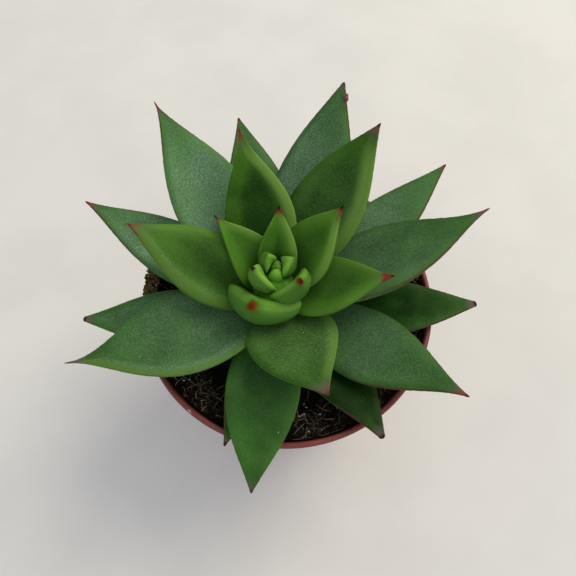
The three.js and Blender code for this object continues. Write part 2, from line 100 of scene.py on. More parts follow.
# The blades, oldest first. Heading, swing and rise are degrees, length, width and thickness mm.
# Tip is half the width that it ends with. Powder is how much wax bloom lies on the blade, green
# how light its flesh is, set low also as painted shade on blades that lie in the shade of others,
# shade how much darker it is away from its tip and margins and on the side away from the window,
# partly the darker flesh of its middle and partly painted shade, band how bright its paler margins
# are, on the old blades only on the side facing the window as a painted highlight, and broad how
# many mm of them, line how many mm a red hairline runs down them, blush how red its tip is,
# withered how dry, reach how many mm both run back, dark how dark its thorn is, thorn how many mm
# of it stand bare, and fold how olive the margin is on the blade's left, as seen from the stem,
# where it rolls under, and how strong a painted highlight runs along the ridge above it.
BLADE_KEYS = [
    "heading", "length", "width", "rise_base", "rise_tip", "swing", "roll", "cup", "thick",
    "lift", "taper", "tip",
    "powder", "green", "shade", "band", "broad", "line", "blush", "withered", "reach", "dark",
    "thorn", "fold",
]
BLADES = [
    [252, 43.5, 15, 11, 8, 0, 0, 0.2, 2.8, 0, 1.15, 0.35,
     0.15, 0.55, 0.2, 0.1, 2.4, 20, 0.9, 0.3, 3, 0.9, 0, 0],
    [193, 60, 20, 16, -2, -16, 1, 0.22, 4.2, 0, 1.15, 0.8,
     0.6, 0.46, 0.2, 0.1, 2.4, 6, 0.1, 0.6, 3.2, 0.9, 0, 0],
    [313, 51, 22, 17, 5, -17, -12, 0, 4.2, 0, 1.15, 0.9,
     0, 0.1, 0.2, 0.1, 2.4, 20, 0.5, 0.6, 3, 0.9, 0, 0],
    [354, 64, 21.5, 12, -4, 12, -7, 0.14, 4.6, 0, 1.15, 0.95,
     0, 0.28, 0.14, 0.12, 2.4, 30, 0.1, 0.8, 3.4, 1, 0, 0],
    [98, 67, 24, 14, 21, 9, 3, 0.1, 4.8, -1, 1.15, 0.35,
     0.55, 0.55, 0.2, 0.3, 2.4, 45, 0.7, 0.3, 3, 0.6, 0, 0],
    [34, 74, 24, 13, 13, 9, -16, 0, 4.8, 0, 1.15, 0.4,
     0.6, 0.54, 0.15, 0.2, 2.4, 60, 0.7, 0.4, 4, 0.4, 0.3, 0],
    [156.4, 68, 22.9, 15, 20, -2, 6, 0.16, 4.8, 0, 1.25, 0.35,
     1.0, 0.45, 0.15, 0.3, 2.4, 35, 1, 0.2, 5, 0.3, 0.3, 0],
    [263, 57, 24, 16, -18, 1, 2, 0.2, 4.8, 0, 1.15, 0.35,
     0.07, 0.46, 0.08, 0.12, 2.4, 6, 0.6, 0.5, 3.2, 0.6, 0, 0],
    [73.6, 76, 28, 19, 30, -5, -9, 0, 4.8, 0, 1.08, 0.5,
     0.62, 0.38, 0.15, 0.3, 2.4, 60, 0.2, 0.5, 3, 0.5, 0, 0],
    [126.4, 71, 27.8, 26, 36, -2, 1, 0.16, 4.8, 0, 1.22, 0.35,
     0.95, 0.7, 0.15, 0.4, 2.4, 28, 1, 0.5, 5, 0.3, 1.8, 0],
    [330.6, 64, 25.6, 13, 8, -4, -1, -0.12, 4.8, 0, 1.4, 0.35,
     0.26, 0.38, 0.08, 0.12, 2.4, 45, 0.8, 0.4, 5, 0.5, 0, 0],
    [215, 63.5, 28.6, 22, 5, -26, 4, 0.4, 4.8, -1, 1.5, 0.35,
     0.36, 0.4, 0.06, 0.12, 2.4, 3, 0.2, 1, 4.5, 0.15, 2.3, 0.9],
    [9.6, 71, 27, 18, 17, 18, -17, 0.25, 4.8, 0.5, 1.45, 0.35,
     0.28, 0.4, 0.08, 0.2, 2.4, 60, 0.7, 0.6, 5.5, 0.1, 1, 0],
    [286, 39, 29.5, 30, 20, 16, -5, 0.06, 4, 1, 1.15, 0.5,
     0.26, 0.26, 0.08, 0.35, 3.6, 4, 0.4, 0.6, 4.5, 0.5, 0, 0],
    [167, 50, 25.5, 41, 30, -4, 4, -0.06, 4.2, 0, 1.15, 0.35,
     0.12, 0.58, 0.3, 0.35, 2.8, 6, 0.85, 0.3, 5.5, 0.3, 0.4, 0.9],
    [57, 61.5, 26, 32, 34, -8, -4, 0.08, 4.4, 0, 1.1, 0.35,
     0.15, 0.28, 0.18, 0.5, 5, 3, 0.7, 0.6, 4, 0.9, 0.3, 0],
    [103, 50.5, 23, 35, 37, 4, -1, 0.3, 3.8, 1.5, 1.45, 0.35,
     0.04, 0.46, 0.42, 0.8, 3.4, 4, 0.9, 0.3, 5.5, 0.4, 0.4, 0],
    [352, 39, 20, 35, 38, 1, 6, 0.18, 3.8, 0, 1.25, 0.35,
     0.1, 0.72, 0.4, 0.35, 2.4, 5, 1, 0.3, 5.5, 0.7, 0.5, 0],
    [141, 31, 15.5, 66, 43, 5, -5, 0.4, 3, 0, 1.15, 0.35,
     0.1, 0.92, 0.35, 0.7, 2.4, 4, 1, 0, 4.5, 1, 1.3, 0],
    [37, 35, 19.2, 49, 59, -9, 3, 0.03, 3.2, 1, 1.15, 0.35,
     0.08, 0.82, 0.46, 0.8, 2.8, 4, 1, 0.1, 5.5, 1, 0.5, 0],
    [82, 26, 12.5, 69, 57, 6, 5, 0.4, 2.6, 2, 1.15, 0.35,
     0.08, 1.22, 1.0, 0.9, 2.4, 4, 1, 0.1, 3.5, 1, 0.4, 0],
]
LOWEST_LEAF = 0.6
LEAF_STEP = 0.78
UPPER_STEP = 0.04
UPPER_FROM_LEAF = 14
STEM_RADIUS = 8.4
STEM_TAPER = 0.25
OUTER_BLADES = 13

YOUNG_KEYS = [
    "heading", "length", "width", "rise_base", "rise_tip", "swing", "roll", "cup", "thick",
    "radius", "height", "crown",
    "powder", "green", "shade", "band", "broad", "line", "blush", "withered", "reach", "dark",
]
YOUNG_BLADES = [
    [250, 26, 25.3, 31, 98, -23, 14, 0.44, 3.7, 5.1, 12, 6,
     0.1, 0.04, 0.05, 0.32, 3.2, 0.1, 0.9, 0, 3.8, 0.3],
    [316, 23.4, 15.8, 51, 91, -2, -3, 0.39, 3.4, 3.9, 16.5, 3.2,
     0.1, 0.28, 0.1, 0.35, 2.4, 0.1, 1, 0, 2.8, 0.6],
    [218, 22.5, 9.8, 59, 90, 0, -7, 0.42, 3.1, 1.9, 18.8, 2.3,
     0.05, 0.85, 0.1, 0.8, 2.4, 0.1, 1, 0, 1.2, 1],
]
BUD_BLADES = [
    [133, 11.8, 5.6, 71, 112, 0, 14, 0.6, 2.4, 3.4, 23.8, 2.1,
     0.05, 0.8, 0, 0.5, 2.4, 0.1, 0, 0, 1, 0],
    [20, 9.6, 6.8, 65, 76, 0, -15, 0.5, 2.2, 3.5, 23.8, 2.4,
     0.05, 0.8, 0, 0.5, 2.4, 0.1, 0, 0, 1, 0],
    [70, 9, 4, 82, 95, 0, 0, 0.2, 1.8, 1.6, 22.6, 1.2,
     0.05, 0.7, 0, 0.3, 2.4, 0.1, 0, 0, 1, 0],
]
YOUNG_TAPER = 1.15

# Blade form: some numbers are pairs, for a long blade and a short one, for the oldest blade and
# the youngest, or for the two places along a blade between which something comes in
LONG_BLADE = 60
SHORT_BLADE = 36
FOOT_SHARE = (0.4, 0.6)
WIDEST_AT = (0.45, 0.36)
THICKEST_AT = 0.35
FOOT_THICKNESS = 0.62
THICK_POWER = 0.75
KEEL_FROM = 0.45
KEEL_POWER = 0.9
OLD_KEEL = 1.0
YOUNG_KEEL = 0.3
EDGE_THICK = 0.6
BEAD_UP_TO_ROUND = 3
BEAD_INSET = 0.6
LEAST_HALF = 0.05
BLUNT_END = 0.4
THORN_POINT = 0.07
THORN_POWER = 0.7
SPINE_THICK = 1.4
YOUNG_TIP = 0.35
YOUNG_THORN = 0.3
OLD_ROUND = (2.0, 3.0)
YOUNG_ROUND = 4.0
CROWN_ROUND = 2.3
OLD_PLUMP = (0.25, 0.4)
CROWN_POWER = 0.35
CROWN_FROM = (0.1, 0.5)
CROWN_FROM_FOOT = (-1, 0)
UNDER_SHARE = 0.8
HOLLOW = 1.0
OLD_HOLLOW = (0.8, 1.2)
HOLLOW_REACH = 0.82
HOLLOW_FROM = (0, 0.3)
HOLLOW_UNTIL = (1, 0.6)
SWELL = 0.25
SWELL_SIZE = 11
SWELL_UNTIL = (1, 0.8)

# Blade looks: pairs are the two places between which a colour comes in or fades. They are mm in
# from the margin or back from the tip, or shares of the blade's own length, broad and line.
# Painted light from a window towards +x: on the old blades the band shows only on margins that face it, a
# painted highlight, and AWAY_SHADE darkens the margins that face away, a painted shade
WINDOW_SIDE = Vector((1, 0, 0))
WINDOW_TURN = (-0.95, 0.9)
AWAY_SHADE = 0.45
# Darker in from the margin and back from the tip: partly the darker flesh of the middle, partly painted
# shade where the blades overlap at the foot
SHADE_IN = (2, 7)
SHADE_BACK = (0.12, 0.4)
BAND_IN = (1.3, 0.5)
BAND_BACK = (0.02, 0.25)
LINE_BACK = (1, 0.6)
# Powder lies thicker towards the foot: partly bloom, partly painted light that lifts the foot where it
# lies in shade
POWDER_TIP_AND_FOOT = (0.5, 1.3)
POWDER_FROM = 2
POWDER_UNTIL = 0.65
FOLD_IN = (3.0, 2.0)
# A painted highlight along the ridge above a rolled margin, drawn in the powder colour
RIDGE_HIGHLIGHT = 0.4
RIDGE_COMES = (2.2, 3.0)
RIDGE_GOES = (4.4, 3.2)
BARE_BEYOND = 0.5
BARE_WITHIN = 0.6
BARE_THORNS = (0.5, 1)
TOPSIDE = {"top": 1.0, "under": 0.0, "margin": 0.5}

# How finely a blade is divided: along it, across one face and round a margin, then a bud's dome
STATIONS = 80
BUD_STATIONS = 40
ACROSS = 24
MARGIN_TURN = 3
MIDRIB_STEPS = 240
TIP_CROWDING = 1.3
DOME_ROWS = 20
DOME_SIDES = 32
DOME_FOLD = 0.05


def mix(a, b, share):
    return a + (b - a) * share


def clamp(value, low=0.0, high=1.0):
    return max(low, min(high, value))


def smooth(low, high, value):
    share = clamp((value - low) / (high - low))
    return share * share * (3 - 2 * share)


def linear(hex_colour):
    """An sRGB hex colour as the linear RGBA that a shader takes."""
    parts = [int(hex_colour[i:i + 2], 16) / 255 for i in (1, 3, 5)]
    lit = [p / 12.92 if p <= 0.04045 else ((p + 0.055) / 1.055) ** 2.4 for p in parts]
    return (*lit, 1.0)


# Lays one shader node: sockets set to values or linked to other nodes' outputs, and its settings.
# It gives back one of the node's outputs, the first one if none is asked for.
def add_node(tree, kind, sockets=None, output=0, **settings):
    made = tree.nodes.new(kind)
    for key, value in settings.items():
        setattr(made, key, value)
    for key, value in (sockets or {}).items():
        if isinstance(value, bpy.types.NodeSocket):
            tree.links.new(value, made.inputs[key])
        else:
            made.inputs[key].default_value = value
    return made.outputs[output] if made.outputs else None


# Socket places of the Mix node when it mixes colours, of the Math node and of the Map Range node
SHARE, FIRST, SECOND, MIXED = 0, 6, 7, 2
ONE, OTHER, ADDED = 0, 1, 2
FROM_LOW, FROM_HIGH, TO_LOW, TO_HIGH = 1, 2, 3, 4
# Settings that come again and again, and the two values that most of a noise lies between
COLOURS = {"data_type": "RGBA", "output": MIXED}
EASED = {"interpolation_type": "SMOOTHSTEP"}
TIMES = {"operation": "MULTIPLY"}
NOISE_SPAN = {FROM_LOW: 0.3, FROM_HIGH: 0.7}

# Sizes in mm that the patterns are worked out from. Real skin pores, mould grain and peat dust are
# finer than a tenth of a millimetre, and are drawn coarser here so that they show.
FLESH_CLOUDS = 9
SKIN_SPECKLE = 0.5
WORN_PATCHES = 16
TIP_STREAKS = 3.5
MOULD_CLOUDS = 14
MOULD_SCUFFS = 1.6
MOULD_GRAIN = 0.4
PEAT_CLODS = 5
PEAT_GRIT = 0.6

# How much clouds and speckle change the skin's green, and speckle its roughness
CLOUD_DEPTH = 0.1
SPECKLE_DEPTH = 0.06
ROUGHNESS_DEPTH = 0.06
# How much of a tip's reach is used up by each mm in from the margin, so that red follows the margin
RED_SHRINKS = 0.16
MARGIN_RED = "#552a26"
DRIED_TIP = "#655c58"
THORN_BROWN = "#2a1614"
FOLD_OLIVE = "#52742c"

# What each point of a blade carries: its distance in mm from the tip and from the margin, whether
# it is on top, its own shares, and the three values that are the same all over its blade
SHARES = ("withered", "reach", "dark")
OWN = ("from_tip", "from_edge", "topside", "green", "band", "line", "powder", "olive", "blush")
CARRIED = OWN + SHARES


def blank_finish(name):
    """A new material, and the way to lay nodes in it."""
    made = bpy.data.materials.new(name)
    made.use_nodes = True
    made.node_tree.nodes.clear()
    return made, partial(add_node, made.node_tree)


def per_mm(size):
    """Texture scale that makes a pattern's lumps about size millimetres across."""
    return 1 / (size * MM)


# Living succulent blade: a waxy skin over watery flesh, which gives a dull satin green with a
# soft glow, a powdery bloom that hands and rain have worn to patches, and red at the tip
def succulent_skin(name, deep, light, margin, powder, under, tip_red, roughness, gloss):
    skin, lay = blank_finish(name)
    place = lay("ShaderNodeTexCoord", output="Object")
    told = {key: lay("ShaderNodeAttribute", output="Fac", attribute_name=key) for key in CARRIED}
    # Flesh: cloudy and finely speckled between the deep green and the light one
    clouds = lay("ShaderNodeTexNoise", {"Vector": place, "Scale": per_mm(FLESH_CLOUDS), "Detail": 3})
    cloudy = {"Value": clouds, **NOISE_SPAN, TO_LOW: -CLOUD_DEPTH, TO_HIGH: CLOUD_DEPTH}
    fine = {"Vector": place, "Scale": per_mm(SKIN_SPECKLE), "Detail": 2, "Roughness": 0.6}
    speckle = lay("ShaderNodeTexNoise", fine)
    grainy = {"Value": speckle, FROM_LOW: 0.35, FROM_HIGH: 0.65}
    grainy.update({TO_LOW: -SPECKLE_DEPTH, TO_HIGH: SPECKLE_DEPTH})
    unevenness = lay("ShaderNodeMath", {
        ONE: lay("ShaderNodeMapRange", cloudy, **EASED),
        OTHER: lay("ShaderNodeMapRange", grainy, **EASED),
    })
    lightness = lay("ShaderNodeMath", {ONE: told["green"], OTHER: unevenness}, use_clamp=True)
    greens = {SHARE: lightness, FIRST: linear(deep), SECOND: linear(light)}
    flesh = lay("ShaderNodeMix", greens, **COLOURS)
    # Underside: paler from the margin's middle down
    turned_down = {"Value": told["topside"], FROM_LOW: 0.6, FROM_HIGH: 0.4, TO_HIGH: 0.8}
    below = lay("ShaderNodeMapRange", turned_down, **EASED)
    # Powder: thickest in the middle, worn in soft patches and speckled. Along a rolled margin's ridge the
    # same coat is a painted highlight
    worn = lay("ShaderNodeTexNoise", {"Vector": place, "Scale": per_mm(WORN_PATCHES), "Detail": 3})
    patchy = {"Value": worn, **NOISE_SPAN, TO_LOW: 0.5, TO_HIGH: 0.8}
    dotted = {"Value": speckle, FROM_LOW: 0.4, FROM_HIGH: 0.68, TO_LOW: 0.5, TO_HIGH: 1.25}
    thicker = {"Value": told["from_edge"], FROM_LOW: 0.4, FROM_HIGH: 3.0, TO_LOW: 0.35}
    dust = lay("ShaderNodeMapRange", patchy, **EASED)
    for spread in (dotted, thicker):
        share = lay("ShaderNodeMapRange", spread, **EASED)
        dust = lay("ShaderNodeMath", {ONE: dust, OTHER: share}, **TIMES)
    dust = lay("ShaderNodeMath", {ONE: dust, OTHER: told["powder"]}, use_clamp=True, **TIMES)
    # Hairline: red on the thinnest of the margins
    thinnest = {"Value": told["from_edge"], FROM_LOW: 0.5, FROM_HIGH: 0.1, TO_HIGH: 0.6}
    hairline = lay("ShaderNodeMapRange", thinnest, **EASED)
    line = lay("ShaderNodeMath", {ONE: hairline, OTHER: told["line"]}, **TIMES)
    # Tip: a dry end and red along its edges, both with a ragged border, and a brown thorn
    streaks = lay("ShaderNodeTexNoise", {"Vector": place, "Scale": per_mm(TIP_STREAKS), "Detail": 2})
    ragged = lay("ShaderNodeMapRange", {"Value": streaks, **NOISE_SPAN, TO_LOW: -0.3, TO_HIGH: 0.3})
    run = lay("ShaderNodeMath", {ONE: told["from_tip"], OTHER: told["reach"]}, operation="DIVIDE")
    run = lay("ShaderNodeMath", {ONE: run, OTHER: ragged})
    dry = lay("ShaderNodeMapRange", {"Value": run, FROM_LOW: 1.6, FROM_HIGH: 0.5}, **EASED)
    dry = lay("ShaderNodeMath", {ONE: dry, OTHER: told["withered"]}, **TIMES)
    inward = {ONE: told["from_edge"], OTHER: RED_SHRINKS, ADDED: run}
    run = lay("ShaderNodeMath", inward, operation="MULTIPLY_ADD")
    red = lay("ShaderNodeMapRange", {"Value": run, FROM_LOW: 1.1, FROM_HIGH: 0.3}, **EASED)
    red = lay("ShaderNodeMath", {ONE: red, OTHER: told["blush"]}, **TIMES)
    last_mm = {"Value": told["from_tip"], FROM_LOW: 1.9, FROM_HIGH: 0.8}
    thorn = lay("ShaderNodeMapRange", last_mm, **EASED)
    thorn = lay("ShaderNodeMath", {ONE: thorn, OTHER: told["dark"]}, **TIMES)
    # The coats in their order, from the brighter margins, where the flesh is thin and the old blades'
    # window side is a painted highlight, to the thorn
    coats = (
        (told["band"], margin),
        (below, under),
        (told["olive"], FOLD_OLIVE),
        (dust, powder),
        (line, MARGIN_RED),
        (dry, DRIED_TIP),
        (red, tip_red),
        (thorn, THORN_BROWN),
    )
    for share, colour in coats:
        coat = {SHARE: share, FIRST: flesh, SECOND: linear(colour)}
        flesh = lay("ShaderNodeMix", coat, **COLOURS)
    rough = {"Value": speckle, **NOISE_SPAN}
    rough.update({TO_LOW: roughness - ROUGHNESS_DEPTH, TO_HIGH: roughness + ROUGHNESS_DEPTH})
    surface = lay("ShaderNodeBsdfPrincipled", {
        "Base Color": flesh,
        "Roughness": lay("ShaderNodeMapRange", rough, **EASED),
        "IOR": 1.4,
        "Specular IOR Level": gloss,
        "Subsurface Weight": 0.2,
        "Subsurface Radius": (0.5, 1.0, 0.2),
        "Subsurface Scale": 1.5 * MM,
        "Normal": lay("ShaderNodeBump", {"Height": speckle, "Strength": 0.35, "Distance": 0.05 * MM}),
    })
    lay("ShaderNodeOutputMaterial", {"Surface": surface})
    return skin


# Injection-moulded polypropylene in terracotta colour: dull and even, with faint pale scuffs
def moulded_terracotta(first, second, scuffed):
    skin, lay = blank_finish("moulded_terracotta_plastic")
    place = lay("ShaderNodeTexCoord", output="Object")
    clouds = lay("ShaderNodeTexNoise", {"Vector": place, "Scale": per_mm(MOULD_CLOUDS), "Detail": 3})
    mottle = lay("ShaderNodeMapRange", {"Value": clouds, **NOISE_SPAN}, **EASED)
    shades = {SHARE: mottle, FIRST: linear(first), SECOND: linear(second)}
    body = lay("ShaderNodeMix", shades, **COLOURS)
    scratches = {"Vector": place, "Scale": per_mm(MOULD_SCUFFS), "Detail": 4, "Roughness": 0.7}
    worst = {"Value": lay("ShaderNodeTexNoise", scratches), FROM_LOW: 0.6, FROM_HIGH: 0.76, TO_HIGH: 0.25}
    scuffs = lay("ShaderNodeMapRange", worst, **EASED)
    body = lay("ShaderNodeMix", {SHARE: scuffs, FIRST: body, SECOND: linear(scuffed)}, **COLOURS)
    grain = lay("ShaderNodeTexNoise", {"Vector": place, "Scale": per_mm(MOULD_GRAIN), "Detail": 2})
    rough = {"Value": clouds, **NOISE_SPAN, TO_LOW: 0.42, TO_HIGH: 0.55}
    surface = lay("ShaderNodeBsdfPrincipled", {
        "Base Color": body,
        "Roughness": lay("ShaderNodeMapRange", rough, **EASED),
        "IOR": 1.49,
        "Normal": lay("ShaderNodeBump", {"Height": grain, "Strength": 0.3, "Distance": 0.05 * MM}),
    })
    lay("ShaderNodeOutputMaterial", {"Surface": surface})
    return skin


# Loose potting peat: near black and dull where damp, brown on the dry crumbs, with straw flecks
def loose_peat(name, damp, dry, straw):
    skin, lay = blank_finish(name)
    place = lay("ShaderNodeTexCoord", output="Object")
    lumps = {"Vector": place, "Scale": per_mm(PEAT_CLODS), "Detail": 4, "Roughness": 0.65}
    driest = {"Value": lay("ShaderNodeTexNoise", lumps), FROM_LOW: 0.45, FROM_HIGH: 0.75}
    clods = lay("ShaderNodeMapRange", driest, **EASED)
    body = lay("ShaderNodeMix", {SHARE: clods, FIRST: linear(damp), SECOND: linear(dry)}, **COLOURS)
    grains = {"Vector": place, "Scale": per_mm(PEAT_GRIT), "Detail": 3, "Roughness": 0.7}
    grit = lay("ShaderNodeTexNoise", grains)
    flecks = lay("ShaderNodeMapRange", {"Value": grit, FROM_LOW: 0.56, FROM_HIGH: 0.7}, **EASED)
    body = lay("ShaderNodeMix", {SHARE: flecks, FIRST: body, SECOND: linear(straw)}, **COLOURS)
    surface = lay("ShaderNodeBsdfPrincipled", {
        "Base Color": body,
        "Roughness": 0.95,
        "IOR": 1.4,
        "Specular IOR Level": 0.2,
        "Normal": lay("ShaderNodeBump", {"Height": grit, "Strength": 0.8, "Distance": 0.3 * MM}),
    })
    lay("ShaderNodeOutputMaterial", {"Surface": surface})
    return skin


# Dull things of two shades: dry moss fibre, puffed perlite, cork and the stage's pale floor. Size
# is how many mm across their clouds are, and relief how much these show as lumps.
def cloudy_matt(name, first, second, size, roughness, relief=0.0):
    skin, lay = blank_finish(name)
    place = lay("ShaderNodeTexCoord", output="Object")
    clouds = lay("ShaderNodeTexNoise", {"Vector": place, "Scale": per_mm(size), "Detail": 3})
    share = lay("ShaderNodeMapRange", {"Value": clouds, FROM_LOW: 0.35, FROM_HIGH: 0.65}, **EASED)
    shades = {SHARE: share, FIRST: linear(first), SECOND: linear(second)}
    surface = lay("ShaderNodeBsdfPrincipled", {
        "Base Color": lay("ShaderNodeMix", shades, **COLOURS),
        "Roughness": roughness,
        "IOR": 1.45,
        "Normal": lay("ShaderNodeBump", {"Height": clouds, "Strength": relief, "Distance": 0.3 * MM}),
    })
    lay("ShaderNodeOutputMaterial", {"Surface": surface})
    return skin


SKINS = {
    "leaf_outer": succulent_skin(
        "powdered_old_leaf", deep="#102e08", light="#4e8433", margin="#6f9654", powder="#83a888",
        under="#5d7f4a", tip_red="#8a3038", roughness=0.5, gloss=0.08,
    ),
    "leaf_inner": succulent_skin(
        "waxy_inner_leaf", deep="#163a05", light="#548924", margin="#7ea548", powder="#86b074",
        under="#54792f", tip_red="#822a20", roughness=0.4, gloss=0.08,
    ),
    "leaf_heart": succulent_skin(
        "fresh_heart_leaf", deep="#357012", light="#80b842", margin="#90bf50", powder="#98be84",
        under="#46742a", tip_red="#74220f", roughness=0.42, gloss=0.1,
    ),
}


# Pieces
def link_new(name, data):
    """An object of the scene, at the origin."""
    made = bpy.data.objects.new(name, data)
    bpy.context.scene.collection.objects.link(made)
    return made


def mesh_piece(name, points, faces, material, attributes=None):
    """A smooth piece on the part's one body, from points in mm."""
    mesh = bpy.data.meshes.new(name)
    mesh.from_pydata([tuple(c * MM for c in p) for p in points], [], faces)
    mesh.polygons.foreach_set("use_smooth", [True] * len(mesh.polygons))
    for key, values in (attributes or {}).items():
        mesh.attributes.new(key, "FLOAT", "POINT").data.foreach_set("value", values)
    mesh.materials.append(material)
    mesh.update()
    piece = link_new(name, mesh)
    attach(piece, "root")
    return piece


def circle(x, y, radius, sides):
    """Places all round (x, y)."""
    turns = [2 * math.pi * k / sides for k in range(sides)]
    return [(x + radius * math.cos(turn), y + radius * math.sin(turn)) for turn in turns]


def ring_faces(gaps, sides, flipped=False):
    """Faces across the gaps between rings of points that follow one another."""
    faces = []
    for i in range(gaps):
        for k in range(sides):
            a = i * sides + k
            b = i * sides + (k + 1) % sides
            faces.append((a, a + sides, b + sides, b) if flipped else (a, b, b + sides, a + sides))
    return faces


# Blade: half its width and its thickness along the way, as shares of the most
def width_share(u, foot, widest, taper):
    if u < widest:
        return mix(foot, 1, math.sin(math.pi / 2 * u / widest))
    return math.cos(math.pi / 2 * (u - widest) / (1 - widest)) ** taper


def thick_share(u, power):
    if u < THICKEST_AT:
        return mix(FOOT_THICKNESS, 1, math.sin(math.pi / 2 * u / THICKEST_AT))
    return max(math.cos(math.pi / 2 * (u - THICKEST_AT) / (1 - THICKEST_AT)), 0) ** power


def midrib(blade):
    """Points from the stem to the tip, each with the way it runs and its heading."""
    start = math.radians(blade["heading"])
    at = Vector((
        STEM_X + blade["radius"] * math.cos(start),
        blade["stem_y"] + blade["radius"] * math.sin(start),
        CROWN_Z + blade["height"],
    ))
    whole = blade["length"] + blade["thorn"]
    step = whole / MIDRIB_STEPS
    ribs = []
    for i in range(MIDRIB_STEPS + 1):
        s = min(i / MIDRIB_STEPS * whole / blade["length"], 1)
        rise = math.radians(mix(blade["rise_base"], blade["rise_tip"], s))
        head = math.radians(blade["heading"] + blade["swing"] * s)
        along = Vector((
            math.cos(rise) * math.cos(head),
            math.cos(rise) * math.sin(head),
            math.sin(rise),
        ))
        if i:
            at = at + along * step
        ribs.append((at.copy(), along, head))
    return ribs


def section_walk():
    """Once round a blade's section: (share across, top or under or margin, turn at the margin)."""
    walk = []
    for j in range(ACROSS + 1):
        walk.append((-math.cos(math.pi * j / ACROSS), "top", 0))
    for k in range(1, MARGIN_TURN + 1):
        walk.append((1.0, "margin", math.pi / 2 - math.pi * k / (MARGIN_TURN + 1)))
    for j in range(ACROSS + 1):
        walk.append((math.cos(math.pi * j / ACROSS), "under", 0))
    for k in range(1, MARGIN_TURN + 1):
        walk.append((-1.0, "margin", -math.pi / 2 + math.pi * k / (MARGIN_TURN + 1)))
    return walk


def looks_at(blade, part, v, sideways, back, inward):
    """What a point of a blade carries, from its mm back from the tip and in from the margin."""
    far = back / blade["length"]
    # Painted light: lit is how much this margin faces the window. The band shows there as a painted
    # highlight, and shaded is painted shade on the far side and, partly the darker flesh, towards the
    # middle and the foot
    lit = smooth(*WINDOW_TURN, (sideways * math.copysign(1, v)).dot(WINDOW_SIDE))
    lit = mix(1, lit, blade["one_sided"])
    shaded = max(smooth(*SHADE_IN, inward), AWAY_SHADE * (1 - lit)) * smooth(*SHADE_BACK, far)
    banded = lit * smooth(*BAND_IN, inward / blade["broad"]) * smooth(*BAND_BACK, far)
    folded = blade["fold"] if v > 0 else 0
    # Painted highlight along the ridge above the rolled margin, carried with the powder
    ridge = RIDGE_HIGHLIGHT * folded * smooth(*RIDGE_COMES, inward) * smooth(*RIDGE_GOES, inward)
    # More powder towards the foot, partly bloom and partly painted light
    powder_and_light = mix(*POWDER_TIP_AND_FOOT, smooth(POWDER_FROM, POWDER_UNTIL * blade["length"], back))
    bare = smooth(blade["thorn"] + BARE_BEYOND, BARE_WITHIN * blade["thorn"], back)
    bare *= smooth(*BARE_THORNS, blade["thorn"])
    return {
        "from_tip": back,
        "from_edge": inward,
        "topside": TOPSIDE[part],
        "green": blade["green"] - blade["shade"] * shaded,
        "band": blade["band"] * banded,
        "line": smooth(*LINE_BACK, back / blade["line"]),
        "powder": blade["powder"] * powder_and_light + ridge,
        "olive": folded * smooth(*FOLD_IN, inward),
        "blush": blade["blush"] * (1 - bare * (1 - blade["dark"])),
    }


def blade_skin(blade, stations):
    """Points, faces and attributes of one blade's closed skin."""
    ribs = midrib(blade)
    tip = ribs[-1][0]
    short = clamp((LONG_BLADE - blade["length"]) / (LONG_BLADE - SHORT_BLADE))
    foot = mix(*FOOT_SHARE, short)
    widest = mix(*WIDEST_AT, short)
    tilt = math.radians(blade["roll"])
    power, top_power = blade["round"], blade["crown_round"]
    whole = blade["length"] + blade["thorn"]
    bare = BLUNT_END + blade["thorn"]
    walk = section_walk()
    points = []
    carried = {key: [] for key in OWN}
    for i in range(stations):
        way = 1 - (1 - i / (stations - 1)) ** TIP_CROWDING
        at, along, head = ribs[round(way * MIDRIB_STEPS)]
        u = min(way * whole / blade["length"], 1)
        side = Vector((-math.sin(head), math.cos(head), 0))
        up = along.cross(side)
        sideways = side * math.cos(tilt) + up * math.sin(tilt)
        out = up * math.cos(tilt) - side * math.sin(tilt)
        filled = min(u * blade["length"] / (blade["length"] - BLUNT_END), 1)
        spine = mix(THORN_POINT, blade["tip"], clamp((1 - way) * whole / bare) ** THORN_POWER)
        half = mix(spine, blade["width"] / 2, width_share(filled, foot, widest, blade["taper"]))
        thick = max(blade["thick"] * thick_share(filled, THICK_POWER), SPINE_THICK * spine)
        below = blade["below"] * thick_share(filled, THICK_POWER)
        crown = blade["crown"] * thick_share(filled, blade["crown_power"])
        crown *= smooth(*blade["crown_from"], u)
        keel = clamp((u - KEEL_FROM) / (1 - KEEL_FROM))
        edge = min(EDGE_THICK, thick) / 2
        bead = edge * clamp(BEAD_UP_TO_ROUND - blade["round"])
        inner = max(half - BEAD_INSET * bead, LEAST_HALF)
        hollow = HOLLOW * smooth(*HOLLOW_FROM, u) * smooth(*HOLLOW_UNTIL, u) * blade["hollow"]
        for v, part, turn in walk:
            reach = inner * v
            lift = blade["cup"] * half * v * v
            if part == "top":
                full = max(1 - abs(v) ** top_power, 0) ** (1 / top_power)
                dip = max(1 - (v / HOLLOW_REACH) ** 2, 0) ** 2
                lift += crown * full + edge - hollow * dip
            elif part == "under":
                full = max(1 - abs(v) ** power, 0) ** (1 / power)
                under = mix(full, (1 - abs(v)) ** KEEL_POWER, keel * blade["keeled"])
                lift -= below * under + edge
            else:
                reach += math.copysign(bead * math.cos(turn), v)
                lift += edge * math.sin(turn)
            point = at + sideways * reach + out * lift
            point += out * SWELL * noise.noise(point / SWELL_SIZE) * smooth(*SWELL_UNTIL, u)
            points.append(point)
            back = (point - tip).length
            looks = looks_at(blade, part, v, sideways, back, half * (1 - abs(v)))
            for key in OWN:
                carried[key].append(looks[key])
    ring = len(walk)
    faces = ring_faces(stations - 1, ring, flipped=True)
    faces.append(tuple(range(ring)))
    faces.append(tuple(reversed(range((stations - 1) * ring, stations * ring))))
    for key in SHARES:
        carried[key] = [blade[key]] * len(points)
    return points, faces, carried


def stem_lean(turn):
    """How far the stem leans where the leaf of that turn sits, in mm."""
    return STEM_LEAN * max((turn - LEAN_FROM_LEAF) / LEAN_LEAVES, 0) ** LEAN_POWER


